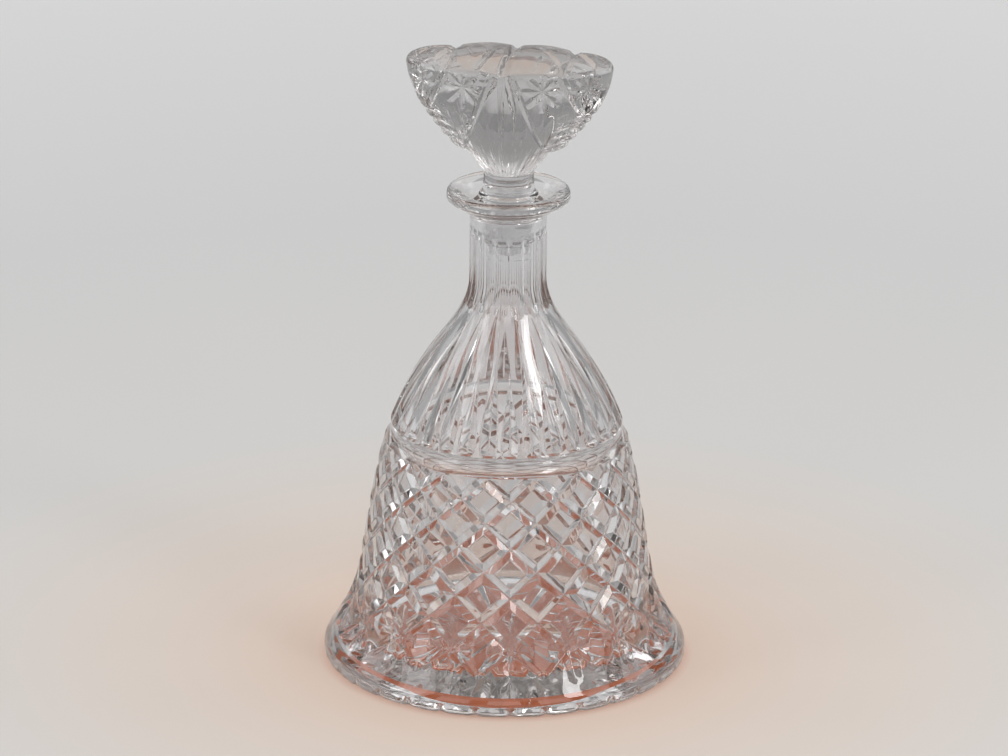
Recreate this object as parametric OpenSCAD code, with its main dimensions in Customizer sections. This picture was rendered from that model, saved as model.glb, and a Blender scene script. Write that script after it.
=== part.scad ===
// Ships decanter in cut crystal: a bell-shaped bottle with a wide foot, a solid fan-shaped stopper and
// a thin clear sleeve that seals the stopper's peg in the neck.
// Millimetres, +Z up, origin at the middle of the sole on the axis of the bottle.

/* [Foot] */
// Widest diameter of the foot
foot_d = 150; // [140:1:170]
// Height of the upright edge of the foot
foot_edge_h = 6; // [5:0.5:12]
// Radius of the rounded heel under the edge
heel_r = 2.5; // [1:0.25:4]
// Diameter of the shallow recess under the foot
recess_d = 120; // [80:1:130]
// Depth of that recess
recess_depth = 1.2; // [0.6:0.1:2.5]
// Number of rays in the star under the foot
rays = 32; // [16:1:40]
// Depth of a ray at the edge of the recess
ray_depth = 2.2; // [1:0.1:3]
// Included angle of a ray
ray_angle = 120; // [90:1:125]

/* [Body] */
// How far the foot stands out from the waist
flare_out = 13.5; // [8:0.5:20]
// Height of the concave flare from the foot to the waist
flare_h = 28; // [20:1:40]
// Height from the waist to the bottom of the ring groove
body_h = 63.5; // [50:0.5:80]
// Diameter of the body at the ring groove
ring_d = 98.6; // [85:0.5:112]
// Height of the steep lower side of the ring groove
ring_drop = 2.75; // [1:0.25:3.5]
// Height of its long upper side
ring_rise = 6; // [2:0.25:8]
// Depth of the ring groove
ring_depth = 1.3; // [0.4:0.1:2]
// Thickness of the glass wall, measured level
wall = 6.5; // [3.5:0.25:8]
// Thickness of the glass under the cavity
base_t = 9; // [7:0.5:14]
// Radius of the rounded corner round the cavity floor
floor_fillet = 6; // [2:0.5:10]

/* [Diamonds] */
// Number of diamonds round the band
diamonds = 16; // [12:1:20]
// Number of passes that one crossed mitre takes down the band, each two rows of diamonds long
diamond_passes = 4; // [2:1:4]
// Gap between the ring groove and the first crossings
diamond_gap = 0.5; // [0:0.25:2]
// Height of a diamond over its width
diamond_ratio = 0.91; // [0.8:0.01:1]
// Depth of a crossed mitre at the ends of a pass
diamond_depth = 0.8; // [0.5:0.1:1.2]
// Included angle of a crossed mitre
diamond_angle = 105; // [90:1:120]

/* [Shoulder] */
// Height from the ring groove to the steepest part of the shoulder
shoulder_h = 42; // [34:1:55]
// Diameter at the steepest part of the shoulder
shoulder_d = 54; // [46:0.5:66]
// Height from there to the foot of the neck
neck_root_h = 25; // [15:1:40]
// Number of long mitre cuts down the shoulder, with as many short ones between them
shoulder_cuts = 16; // [8:1:24]
// Height of the top of a long cut above the bottom of the ring groove
long_cut_h = 43; // [34:1:50]
// Height of the top of a short cut above the bottom of the ring groove
short_cut_h = 32; // [20:1:42]
// Depth of a shoulder cut where it meets the ring groove
shoulder_cut_depth = 1.7; // [0.8:0.1:2.4]
// Included angle of a shoulder cut
shoulder_cut_angle = 135; // [100:1:140]

/* [Neck and lip] */
// Thickness of the glass round the bore of the neck
neck_wall = 5.25; // [3.5:0.25:8]
// Height of the straight neck, from its foot to the lip
neck_h = 27; // [18:1:40]
// Number of flat panels round the neck
panels = 16; // [8:1:24]
// Depth of the panels at their corners
panel_depth = 0.25; // [0.1:0.05:0.8]
// Height of the plain round band between the panels and the lip
panel_band = 9; // [4:0.5:14]
// How far the lip stands out from the neck
lip_out = 9.5; // [5:0.5:15]
// Height of the sloped underside of the lip
lip_under_h = 7; // [3:0.5:10]
// Height of the edge of the lip
lip_edge_h = 4; // [3:0.25:8]
// Radius of the rounded top edge of the lip
lip_round = 2; // [0.5:0.25:2.5]
// How far the dished top of the lip sinks from its edge to the mouth
dish_depth = 4.5; // [1:0.25:5]
// Width of the flat seat that shows round the flange in the dish
seat_margin = 0.8; // [0.3:0.1:2]

/* [Stopper] */
// Diameter of the peg that goes into the sleeve
peg_d = 19.2; // [15:0.2:24]
// Length of the peg below its step
peg_l = 29; // [18:0.5:34]
// How far the stem steps out from the peg
stem_step = 0.6; // [0.3:0.1:1.5]
// Height of the plain stem under the head
stem_h = 4.3; // [3:0.1:12]
// Width of the fan-shaped head
head_w = 84.8; // [60:0.2:95]
// Depth of the head from front to back
head_t = 44; // [36:0.5:54]
// Height of the head from the stem to its widest part
head_h = 44.5; // [30:0.5:55]
// Radius of the rounded rim
rim_r = 3; // [1.5:0.25:4]
// Rise of the low dome on top
crown_h = 2; // [1:0.25:5]
// Depth of the mitre cuts that part the head into lobes
lobe_cut = 2.4; // [1:0.1:3]
// Included angle of those cuts
lobe_cut_angle = 80; // [60:1:100]
// Distance of the outer cuts from the middle one, across the top
outer_cut_out = 24.5; // [18:0.5:29]
// Distance of the inner cuts from the middle one, at the rim
inner_cut_out = 5; // [3:0.5:10]

/* [Sleeve] */
// Thickness of the sleeve
sleeve_wall = 0.8; // [0.5:0.05:1.5]
// Length of the sleeve below its flange
sleeve_l = 23; // [16:0.5:34]
// How far the flange stands out from the sleeve
flange_out = 1.8; // [1.6:0.1:4]
// Thickness of the flange
flange_t = 3.3; // [3.2:0.1:5]
// Radius of its rounded edge
flange_round = 1.5; // [0.5:0.1:1.5]
// Height of the collar of the sleeve that stands on the flange and carries the stem
collar_h = 4.9; // [2:0.1:8]
// Width of the notch in the lower edge
notch_w = 3; // [1.5:0.25:5]
// Height of that notch
notch_h = 2.5; // [1:0.25:5]

/* [Fits and cuts] */
// Running clearance between the peg and the sleeve, on the radius
peg_clearance = 0.05; // [0.02:0.01:0.1]
// Sliding clearance between the sleeve and the neck, on the radius
neck_clearance = 0.08; // [0.02:0.01:0.1]
// Turn of the cuts on the bottle about its axis, in degrees
cut_phase = 2; // [-11:0.5:11]
// Turn of the cuts on the stopper about its axis, in degrees
stopper_phase = -9; // [-45:0.5:45]

/* [Hidden] */

$fn = 128;
eps = 0.01;
crystal = [0.86, 0.88, 0.88, 0.55];
clear_plastic = [0.92, 0.93, 0.92, 0.7];

// Inward draft of the outline, in mm per mm of height, where its curves meet
foot_draft = 0.7;
waist_draft = 0.2;
ring_draft = 0.3;
shoulder_draft = 0.75;
// Outward draft of the stopper's head at the stem and at the rim, across its width and its depth
stem_draft = 1.3;
rim_draft = 0.1;
stem_draft_t = 0.75;
rim_draft_t = 0.05;
// Straight steps in one curve of an outline, and in one rounded corner
curve_steps = 6;
corner_steps = 3;
// Sides of the head's oval sections, and how far it oversails the stem
head_sides = 48;
head_sill = 0.15;
// Straight passes in one cut of the shoulder or the head, and how far a pass runs on into the next
shoulder_passes = 3;
lobe_passes = 4;
overrun = 1.5;
// How much deeper the mitres that slope the other way are cut, across the first ones
second_cut = 0.12;

// Fits, from the peg outwards
peg_r = peg_d / 2;
sleeve_in_r = peg_r + peg_clearance;
sleeve_r = sleeve_in_r + sleeve_wall;
bore_r = sleeve_r + neck_clearance;
flange_r = sleeve_r + flange_out;
stem_r = peg_r + stem_step;

// Radii of the bottle
foot_r = foot_d / 2;
recess_r = recess_d / 2;
waist_r = foot_r - flare_out;
ring_r = ring_d / 2;
shoulder_r = shoulder_d / 2;
neck_r = bore_r + neck_wall;
lip_r = neck_r + lip_out;
dish_r = flange_r + seat_margin;

// Heights of the bottle, from the sole upwards
waist_z = foot_edge_h + flare_h;
ring_z = waist_z + body_h;
shoulder_z = ring_z + shoulder_h;
neck_z = shoulder_z + neck_root_h;
lip_z = neck_z + neck_h;
lip_edge_z = lip_z + lip_under_h;
lip_top_z = lip_edge_z + lip_edge_h;
mouth_z = lip_top_z - dish_depth;

// Heights of the stopper and its sleeve, from the mouth
flange_top_z = mouth_z + flange_t;
seat_z = flange_top_z + collar_h;
stem_top_z = seat_z + stem_h;
rim_z = stem_top_z + head_h;
head_top_z = rim_z + rim_r + crown_h;

// Stations of the outline: height, radius, and growth of the radius per mm of height
foot_top = [foot_edge_h, foot_r, -foot_draft];
waist = [waist_z, waist_r, -waist_draft];
ring = [ring_z, ring_r, -ring_draft];
shoulder = [shoulder_z, shoulder_r, -shoulder_draft];
neck_foot = [neck_z, neck_r, 0];
bore_foot = [neck_z, bore_r, 0];

// The same station on the inside of the wall
function inside(s) = [s[0], s[1] - wall, s[2]];

// Radius at the share t of the way up a smooth cubic curve between two stations
function curve_r(a, b, t) =
    let (rise = b[0] - a[0])
    a[1] * (1 + 2 * t) * (1 - t) * (1 - t)
    + a[2] * rise * t * (1 - t) * (1 - t)
    + b[1] * t * t * (3 - 2 * t)
    - b[2] * rise * t * t * (1 - t);

// Outer radius of the shoulder at the height h over the ring groove
function shoulder_curve_r(h) =
    h < shoulder_h ? curve_r(ring, shoulder, h / shoulder_h)
    : curve_r(shoulder, neck_foot, (h - shoulder_h) / neck_root_h);

// Outer radius of the body at the height z, below the ring groove
function body_curve_r(z) =
    z < waist_z ? curve_r(foot_top, waist, (z - foot_edge_h) / flare_h)
    : curve_r(waist, ring, (z - waist_z) / body_h);

// Height of a row of crossings, counted from the top; the ratio ties each row to the width of its diamonds
function row_z(row) =
    row == 0 ? ring_z - ring_drop - diamond_gap
    : row_z(row - 1) - diamond_ratio * body_curve_r(row_z(row - 1)) * PI / diamonds;

// Points of that curve from the first station up to, and without, the second
function curve(a, b) = [
    for (i = [0 : curve_steps - 1])
        let (t = i / curve_steps)
        [curve_r(a, b, t), a[0] + (b[0] - a[0]) * t]
];

// Points of a rounded corner of radius r about a centre, from one angle to another
function corner(centre, r, from, to) = [
    for (i = [0 : corner_steps])
        let (a = from + (to - from) * i / corner_steps)
        centre + r * [cos(a), sin(a)]
];

function reversed(points) = [for (i = [len(points) - 1 : -1 : 0]) points[i]];

// V-shaped ring groove, from its lower edge to its upper one
function ring_groove() = [
    [body_curve_r(ring_z - ring_drop), ring_z - ring_drop],
    [ring_r - ring_depth, ring_z],
    [shoulder_curve_r(ring_rise), ring_z + ring_rise]
];

// Part of a curve's points that lies clear of the ring groove
function off_groove(points) = [
    for (p = points)
        if (p[1] < ring_z - ring_drop - eps || p[1] > ring_z + ring_rise + eps) p
];

// Outside of the bottle from the middle of the recess up to the lip and down its dish to the mouth
function outside_points() = concat(
    [[0, recess_depth], [recess_r - recess_depth, recess_depth], [recess_r, 0]],
    corner([foot_r - heel_r, heel_r], heel_r, -90, 0),
    off_groove(curve(foot_top, waist)),
    off_groove(curve(waist, ring)),
    ring_groove(),
    off_groove(curve(ring, shoulder)),
    curve(shoulder, neck_foot),
    [[neck_r, neck_z], [neck_r, lip_z], [lip_r, lip_edge_z]],
    corner([lip_r - lip_round, lip_top_z - lip_round], lip_round, 0, 90),
    [[dish_r, mouth_z]]
);

// Where the straight lower wall of the cavity meets its floor
floor_r = waist_r - wall + waist_draft * (waist_z - base_t);

// Inside of the bottle from the middle of the cavity floor up to the mouth
function inside_points() = concat(
    [[0, base_t]],
    corner([floor_r - floor_fillet, base_t + floor_fillet], floor_fillet, -90, 0),
    curve(inside(waist), inside(ring)),
    curve(inside(ring), inside(shoulder)),
    curve(inside(shoulder), bore_foot),
    [[bore_r, neck_z], [bore_r, mouth_z]]
);

// Ring that cuts the neck down to flat panels, whose corners lie a little inside the round of the neck
module panel_cutter() {
    turn = 360 / panels;
    translate([0, 0, neck_z])
        linear_extrude(neck_h - panel_band)
            difference() {
                circle(r = neck_r + lip_out);
                polygon([for (i = [0 : panels - 1]) (neck_r - panel_depth) * [cos(i * turn), sin(i * turn)]]);
            }
}

// One straight pass of a crossed mitre, from a row of crossings to the second row below it
module diamond_pass(row, end_depth) {
    half_turn = 180 / diamonds;
    low_z = row_z(row + 2);
    high_z = row_z(row);
    low_r = body_curve_r(low_z) - end_depth;
    high_r = body_curve_r(high_z) - end_depth;
    low = [low_r * cos(half_turn), -low_r * sin(half_turn), low_z];
    high = [high_r * cos(half_turn), high_r * sin(half_turn), high_z];
    way = high - low;
    depth = 4 * end_depth;
    half_w = depth * tan(diamond_angle / 2);
    translate(low)
        rotate([0, atan2(way[0], way[2]), 0])
            rotate([-asin(way[1] / norm(way)), 0, 0])
                translate([0, 0, -overrun])
                    linear_extrude(norm(way) + 2 * overrun)
                        polygon([[0, 0], [depth, -half_w], [depth, half_w]]);
}

// Crossed mitres all round the body, which leave the diamonds between them
module diamond_band() {
    for (i = [0 : diamonds - 1])
        rotate([0, 0, i * 360 / diamonds])
            for (pass = [0 : diamond_passes - 1]) {
                diamond_pass(2 * pass, diamond_depth);
                mirror([0, 1, 0])
                    diamond_pass(2 * pass, diamond_depth + second_cut);
            }
}

// Long V-shaped bar whose sharp edge runs in the XZ plane from point a to point b, each [radius, height]
module mitre_bar(a, b, depth, width) {
    length = norm(b - a);
    lean = atan2(b[0] - a[0], b[1] - a[1]);
    translate([a[0], 0, a[1]])
        rotate([0, lean, 0])
            linear_extrude(length)
                polygon([[0, 0], [depth, -width / 2], [depth, width / 2]]);
}

// Point on the sharp edge of a shoulder cut of height h, at the share t of the way up from the ring groove
function shoulder_cut_point(h, t) =
    let (up = ring_rise + (h - ring_rise) * t)
    [shoulder_curve_r(up) - shoulder_cut_depth * (1 - t), ring_z + up];

// One shoulder cut: a V that runs up from the ring groove in straight passes, to a point at the height h
module shoulder_cut(h) {
    depth = 2 * shoulder_cut_depth;
    width = 2 * depth * tan(shoulder_cut_angle / 2);
    for (i = [0 : shoulder_passes - 1]) {
        low = shoulder_cut_point(h, i / shoulder_passes);
        high = shoulder_cut_point(h, (i + 1) / shoulder_passes);
        run_on = (high - low) * overrun / norm(high - low);
        mitre_bar(i == 0 ? low : low - run_on, high + run_on, depth, width);
    }
}

// Straight pass of a cut whose sharp edge runs from p to q: a V of a given reach that opens the way out
module v_pass(p, q, out, reach, angle) {
    w = (q - p) / norm(q - p);
    u = (out - (out * w) * w) / norm(out - (out * w) * w);
    v = cross(w, u);
    half_w = reach * tan(angle / 2);
    start = p - overrun * w;
    multmatrix([
        [u[0], v[0], w[0], start[0]],
        [u[1], v[1], w[1], start[1]],
        [u[2], v[2], w[2], start[2]],
        [0, 0, 0, 1]
    ])
        linear_extrude(norm(q - p) + 2 * overrun)
            polygon([[0, 0], [reach, -half_w], [reach, half_w]]);
}

// Star under the foot: rays that deepen from near its middle to the edge of the recess
module sole_star() {
    start = [recess_r / 5, 0, recess_depth];
    end = [recess_r - recess_depth - 2 * overrun, 0, recess_depth + ray_depth];
    for (i = [0 : rays - 1])
        rotate([0, 0, i * 360 / rays])
            v_pass(start, end, [0, 0, -1], ray_depth + overrun / 4, ray_angle);
}

module decanter() {
    color(crystal)
        rotate([0, 0, cut_phase])
            difference() {
                rotate_extrude()
                    polygon(concat(outside_points(), reversed(inside_points())));
                sole_star();
                panel_cutter();
                diamond_band();
                for (i = [0 : shoulder_cuts - 1]) {
                    rotate([0, 0, i * 360 / shoulder_cuts])
                        shoulder_cut(short_cut_h);
                    rotate([0, 0, (i + 0.5) * 360 / shoulder_cuts])
                        shoulder_cut(long_cut_h);
                }
            }
}

// Half the width and half the depth of the stopper's head at the height z, up to the rim
head_foot_r = stem_r + head_sill;
foot_w = [stem_top_z, head_foot_r, stem_draft];
rim_w = [rim_z, head_w / 2, rim_draft];
foot_t = [stem_top_z, head_foot_r, stem_draft_t];
rim_t = [rim_z, head_t / 2, rim_draft_t];
function head_half_w(z) = curve_r(foot_w, rim_w, (z - stem_top_z) / head_h);
function head_half_t(z) = curve_r(foot_t, rim_t, (z - stem_top_z) / head_h);

// Sections of the head from the stem to the middle of its top: half width, half depth, height
function head_sections() = concat(
    [
        for (i = [0 : curve_steps - 1])
            let (z = stem_top_z + head_h * i / curve_steps)
            [head_half_w(z), head_half_t(z), z]
    ],
    [
        for (i = [0 : corner_steps])
            let (a = 90 * i / corner_steps, drawn = rim_r * (1 - cos(a)))
            [head_w / 2 - drawn, head_t / 2 - drawn, rim_z + rim_r * sin(a)]
    ],
    [
        for (i = [1 : corner_steps - 1])
            let (k = 1 - i / corner_steps)
            [k * (head_w / 2 - rim_r), k * (head_t / 2 - rim_r), rim_z + rim_r + crown_h * (1 - k * k)]
    ]
);

// Fan-shaped head: a skin over its oval sections, closed by a flat sole and by one point on top
module fan_head() {
    sections = head_sections();
    n = head_sides;
    last = len(sections) - 1;
    top = n * len(sections);
    polyhedron(
        points = [
            for (sec = sections)
                for (i = [0 : n - 1]) [sec[0] * cos(360 * i / n), sec[1] * sin(360 * i / n), sec[2]],
            [0, 0, head_top_z]
        ],
        faces = [
            [for (i = [0 : n - 1]) i],
            for (k = [0 : last - 1])
                for (i = [0 : n - 1]) [k * n + i, (k + 1) * n + i, k * n + (i + 1) % n],
            for (k = [0 : last - 1])
                for (i = [0 : n - 1]) [(k + 1) * n + i, (k + 1) * n + (i + 1) % n, k * n + (i + 1) % n],
            for (i = [0 : n - 1]) [last * n + i, top, last * n + (i + 1) % n]
        ]
    );
}

// Peg and stem, up into the head
module peg() {
    rotate_extrude()
        polygon([
            [0, seat_z - peg_l], [peg_r - stem_step, seat_z - peg_l], [peg_r, seat_z - peg_l + stem_step],
            [peg_r, seat_z], [stem_r, seat_z], [stem_r, stem_top_z + stem_step], [0, stem_top_z + stem_step]
        ]);
}

// Front of the head at the distance x from its middle and the height z
function face_point(x, z) =
    [x, -head_half_t(z) * sqrt(max(0, 1 - pow(x / head_half_w(z), 2))), z];

// Cut down the front of the head, from x = high_x at the rim to x = low_x at the height low_z
module face_cut(high_x, low_x, low_z, depth) {
    for (i = [0 : lobe_passes - 1]) {
        t = i / lobe_passes;
        next_t = (i + 1) / lobe_passes;
        high = face_point(high_x + (low_x - high_x) * t, rim_z + (low_z - rim_z) * t);
        low = face_point(high_x + (low_x - high_x) * next_t, rim_z + (low_z - rim_z) * next_t);
        mid = (high + low) / 2;
        out = [mid[0] / pow(head_half_w(mid[2]), 2), mid[1] / pow(head_half_t(mid[2]), 2), 0];
        inward = depth * out / norm(out);
        v_pass(high - inward, low - inward, out, 4 * depth, lobe_cut_angle);
    }
}

// Cut over the top of the head from front to back, at the distance x from its middle
module top_cut(x, depth) {
    z = rim_z + rim_r - depth;
    v_pass([x, -head_t / 2, z], [x, head_t / 2, z], [0, 0, 1], 4 * depth, lobe_cut_angle);
}

// Cuts that part the head into lobes: one down the middle, and two on either side that spread downwards
module lobe_cuts() {
    inner_cut = 0.6 * lobe_cut;
    inner_low_z = rim_z - 0.8 * head_h;
    outer_low_z = rim_z - 0.4 * head_h;
    middle_low_z = rim_z - 0.7 * head_h;
    top_cut(0, inner_cut);
    for (face = [0, 1])
        mirror([0, face, 0]) {
            face_cut(0, 0, middle_low_z, inner_cut + second_cut);
            for (side = [-1, 1]) {
                face_cut(side * inner_cut_out, side * 0.9 * head_half_w(inner_low_z), inner_low_z, inner_cut);
                face_cut(side * outer_cut_out, side * 0.94 * head_half_w(outer_low_z), outer_low_z, lobe_cut);
            }
        }
    for (side = [-1, 1])
        top_cut(side * outer_cut_out, lobe_cut + second_cut);
}

module stopper() {
    color(crystal)
        rotate([0, 0, stopper_phase])
            union() {
                peg();
                difference() {
                    fan_head();
                    lobe_cuts();
                }
            }
}

module stopper_sleeve() {
    color(clear_plastic)
        difference() {
            rotate_extrude()
                polygon([
                    [sleeve_in_r, mouth_z - sleeve_l],
                    [sleeve_r, mouth_z - sleeve_l],
                    [sleeve_r, mouth_z],
                    each corner([flange_r - flange_round, mouth_z + flange_round], flange_round, -90, 0),
                    each corner([flange_r - flange_round, flange_top_z - flange_round], flange_round, 0, 90),
                    [sleeve_r, flange_top_z],
                    [sleeve_r, seat_z],
                    [sleeve_in_r, seat_z]
                ]);
            translate([-notch_w / 2, -2 * sleeve_r, mouth_z - sleeve_l - eps])
                cube([notch_w, 2 * sleeve_r, notch_h + eps]);
        }
}

decanter();
stopper();
stopper_sleeve();
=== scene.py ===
"""Ships decanter in cut crystal: the looks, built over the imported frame.

Sizes are in millimetres until a mesh is made. Each piece is one closed skin over an outline of oval
sections. A point of a skin is a row along that outline and an angle round the axis, and every cut is a depth
that is taken off along the inward normal. Angles start at the front of a piece, which faces -Y before its
turn, and grow towards +X.
"""
import math

import bpy
import numpy as np
from mathutils import Matrix, Vector


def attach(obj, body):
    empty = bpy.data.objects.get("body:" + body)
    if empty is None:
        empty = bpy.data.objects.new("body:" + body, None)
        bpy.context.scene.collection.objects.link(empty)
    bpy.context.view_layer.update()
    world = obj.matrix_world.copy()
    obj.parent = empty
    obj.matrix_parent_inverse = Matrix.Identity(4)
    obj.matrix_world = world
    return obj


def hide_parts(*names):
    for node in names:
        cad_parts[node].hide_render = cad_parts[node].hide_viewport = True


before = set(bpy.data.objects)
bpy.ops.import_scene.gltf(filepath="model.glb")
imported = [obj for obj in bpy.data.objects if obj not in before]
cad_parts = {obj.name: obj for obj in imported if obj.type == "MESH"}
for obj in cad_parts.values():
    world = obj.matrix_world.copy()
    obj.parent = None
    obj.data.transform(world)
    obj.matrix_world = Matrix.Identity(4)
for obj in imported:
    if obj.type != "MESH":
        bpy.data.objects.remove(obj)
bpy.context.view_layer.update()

MM = 0.001

# Heights and radii of the bottle's outline: height, radius, growth of the radius per mm of height
FOOT_TOP = (6.0, 74.95, -0.7)
WAIST = (34.0, 61.5, -0.2)
RING = (97.5, 49.3, -0.3)
SHOULDER = (139.5, 27.0, -0.75)
NECK_FOOT = (164.5, 15.78, 0.0)
WALL = 6.5
BORE_R = 10.53
FLOOR_Z = 9.0
FLOOR_FILLET = 6.0
HEEL_R = 2.5
HEEL_ROWS = 6
FOOT_ROUND = 8.0
FOOT_ROUND_Z = 3.5
FOOT_ROUND_END = 35
LIP_Z = 191.5
LIP_R = 25.28
LIP_ROUND = 2.0
LIP_UNDER_ROUND = 1.4
LIP_UNDER_Z = 199.4
LIP_UNDER_RISE = 6.7
LIP_UNDER_INSET = 1.1
LIP_UNDER_CURVE = 1.25
LIP_TOP_Z = 202.5
LAND_R = 18.9
LAND_Z = 201.6
LAND_CURVE = 1.5
DISH_R = 13.05
DISH_CURVE = 1.8
MOUTH_Z = 198.0
MOUTH_ROUND = 0.8
RECESS_R = 60.0
RECESS_DEPTH = 1.2
CAVITY_LOW_Z = (27.0, 21.0)

# Cuts on the bottle: one step is a 32nd of a turn
STEP = math.radians(11.25)
PERIODS = 16
BOTTLE_TURN = math.radians(13.25)
RING_MIDDLE_Z = 98.7
RING_HALF = 3.9
RING_DEPTH = 1.5
# Shoulder cuts end between the ring's edge and here, in half heights of the ring from its middle
RING_CLEAR = 1.25
RING_TO_CROSSING = 0.5
DIAMOND_RATIO = 0.91
DIAMOND_HALF = 0.4
DIAMOND_DEPTH = 1.75
DIAMOND_ROWS = 8
# What is left of a row, and of a cut's width, where the diamonds run out
RUN_OUT = 0.02
CROSSING_Z = RING_MIDDLE_Z - RING_HALF - RING_TO_CROSSING
LONG_CUT_Z = 150.0
SHORT_CUT_Z = 134.0
SHOULDER_CUT_DEPTH = 3.0
SHOULDER_CUT_HALF = 0.45
SHOULDER_CUT_LEAST = 0.03
RAY_START_R = 12.0
RAY_DEPTH = 2.2
HEEL_NOTCH_HALF = 0.2
HEEL_NOTCH_DEPTH = 0.6
HEEL_NOTCH_Z = (1.0, 5.0)
HEEL_NOTCH_R = (67.0, 73.0)
# Short cuts of the stars over the foot: half width in steps, depth, reach in steps
LEVEL_CUT = (0.26, 2.3, 0.75)
UPRIGHT_CUT = (0.24, 2.4, 1.2)
STAR_CORE = 0.1
PANEL_HOLLOW = 1.0
PANEL_LOW_Z = 152.0
PANEL_ARCH = 7.0
PANEL_HIGH_Z = 184.5
# Depth gained per mm of height at the ends of a panel
PANEL_LOW_SLOPE = 0.3
PANEL_HIGH_SLOPE = 0.5

# Stopper
PEG_R = 9.6
PEG_BOTTOM = 177.2
PEG_CHAMFER = 0.6
PEG_FACE_R = 4.0
SEAT_Z = 206.2
STEM_R = 10.2
STEM_ROUND = 0.3
STEM_TOP_Z = 210.5
RIM_Z = 255.0
RIM_R = 3.0
CROWN_H = 1.9
# Half width and half depth of the head: height, size, growth of the size per mm of height
HEAD_FOOT_W = (STEM_TOP_Z, STEM_R, 1.3)
HEAD_RIM_W = (RIM_Z, 42.35, 0.1)
HEAD_FOOT_T = (STEM_TOP_Z, STEM_R, 0.75)
HEAD_RIM_T = (RIM_Z, 22.0, 0.05)
STOPPER_TURN = math.radians(-9)
STOPPER_COLUMNS = 480
# Cuts between the lobes: depth, half width, and how much shallower and wider they get over the top
MIDDLE_CUT = (1.44, 1.3, 0.6, 1.6)
INNER_CUT = (1.44, 1.3, 0.0, 0.0)
OUTER_CUT = (2.4, 2.1, 1.5, 0.6)
# Their lines: place across the face at the rim and at the low end, and the fall from the rim to the low end
MIDDLE_LINE = (0.0, 0.0, 30.4)
INNER_LINE = (5.0, 17.4, 34.8)
OUTER_LINE = (24.5, 32.6, 17.4)
# Shares of the fall between which they run out, and the least share of their width
LINE_END = (0.8, 1.1)
LINE_LEAST = 0.2
# Most that a distance across the face is stretched, where the oval turns away at its ends
MOST_STRETCH = 6
# Stars on the lobes: place across the face, reach, half width, depth. All lie STAR_DOWN from the rim along
# the face, which is STAR_SLANT long for each mm of fall.
LOBE_STAR = (16.5, 9.5, 1.9, 1.5)
END_STAR = (34.5, 8.0, 1.8, 1.4)
STAR_DOWN = 5.0
STAR_SLANT = 1.05
STAR_FADE = 0.7
# The flank comes in between these shares of the half width. Its cuts fade in over the first two of their
# falls from the rim, and out over the last two.
FLANK = (0.62, 0.8)
NOTCH_PITCH = 3.8
NOTCH_DEPTH = 1.3
NOTCH_FALLS = (15, 19, 31, 35)
UNDERCUT = 2.7
UNDERCUT_FALLS = (33, 36, 37.5, 44.5)
FLUTES = 40
FLUTE_DEPTH = 0.26
FLUTE_FALLS = (8, 28, 42, 44.5)
# Each lobe falls away by this depth at its edges, from this far in, and down to this fall from the rim
CUSHION_DEPTH = 1.2
CUSHION_W = 12.0
CUSHION_FALL = 14.0

# Sleeve
SLEEVE_IN_R = 9.65
SLEEVE_R = 10.45
SLEEVE_BOTTOM = 175.0
SLEEVE_COLUMNS = 240
SLEEVE_NOTCH_HALF = 1.5
SLEEVE_NOTCH_RISE = 2.5
FLANGE_R = 12.25
FLANGE_ROUND = 1.5
FLANGE_TOP_Z = 201.3
COLLAR_ROUND = 0.4

# Gap left between two pieces where one rests on the other
REST_GAP = 0.05

# Share of a cut's half width over which polishing has eased its bottom and its edges
EASE = 0.125
# Sharpest turn of an outline that still shades as a round one
CORNER = math.radians(28)
# Points in the same cell of this size are joined. The cells are shifted, so that round sizes lie inside them.
WELD = 0.001
WELD_SHIFT = 0.37
# How far into a face, as a share of the way to its middle, the normal of a corner is taken
INTO_FACE = 0.08


# Outlines

def smooth_curve(a, b, z):
    """Radius at height z on the cubic between two stations that has their radii and growths at its ends."""
    rise = b[0] - a[0]
    t = (z - a[0]) / rise
    return (a[1] * (1 + 2 * t) * (1 - t) ** 2 + a[2] * rise * t * (1 - t) ** 2
            + b[1] * t * t * (3 - 2 * t) - b[2] * rise * t * t * (1 - t))


def inset(station):
    """The same station on the inside of the wall."""
    return (station[0], station[1] - WALL, station[2])


def arc(centre, radius, start, end, count):
    """Points (radius, height) of a round corner about a centre, between two angles in degrees."""
    a = np.radians(np.linspace(start, end, count))
    return np.stack([centre[0] + radius * np.cos(a), centre[1] + radius * np.sin(a)], axis=1)


def run(radius, height):
    """Points (radius, height) for arrays, or one array and one number."""
    return np.stack(np.broadcast_arrays(np.asarray(radius, float), np.asarray(height, float)), axis=1)


def outline(*runs):
    """Runs of points joined into oval sections: half width, half depth, height.

    A run of points (radius, height) makes round sections.
    """
    parts = [np.asarray(part, float) for part in runs]
    return np.concatenate([part if part.shape[1] == 3 else part[:, [0, 0, 1]] for part in parts])


# Cuts

def mitre(offset, half_width, depth):
    """V cut: full depth on its line, nothing past half its width, bottom and edges eased by polishing."""
    x = np.abs(offset) / np.maximum(half_width, 1e-6)
    x = np.where(x < EASE, (x * x / EASE + EASE) / 2, x)
    rise = 1 - x
    return depth * np.where(np.abs(rise) < EASE, (rise + EASE) ** 2 / (4 * EASE), np.clip(rise, 0, None))


def off_line(x, period):
    """Distance from x to the nearest whole multiple of the period."""
    return np.abs((x + period / 2) % period - period / 2)


def share(x, start, end):
    """How far x has come from start to end, held between 0 and 1."""
    return np.clip((x - start) / (end - start), 0, 1)


# Skins

def unit(vectors):
    """The vectors at length one."""
    return vectors / np.linalg.norm(vectors, axis=-1, keepdims=True)


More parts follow.
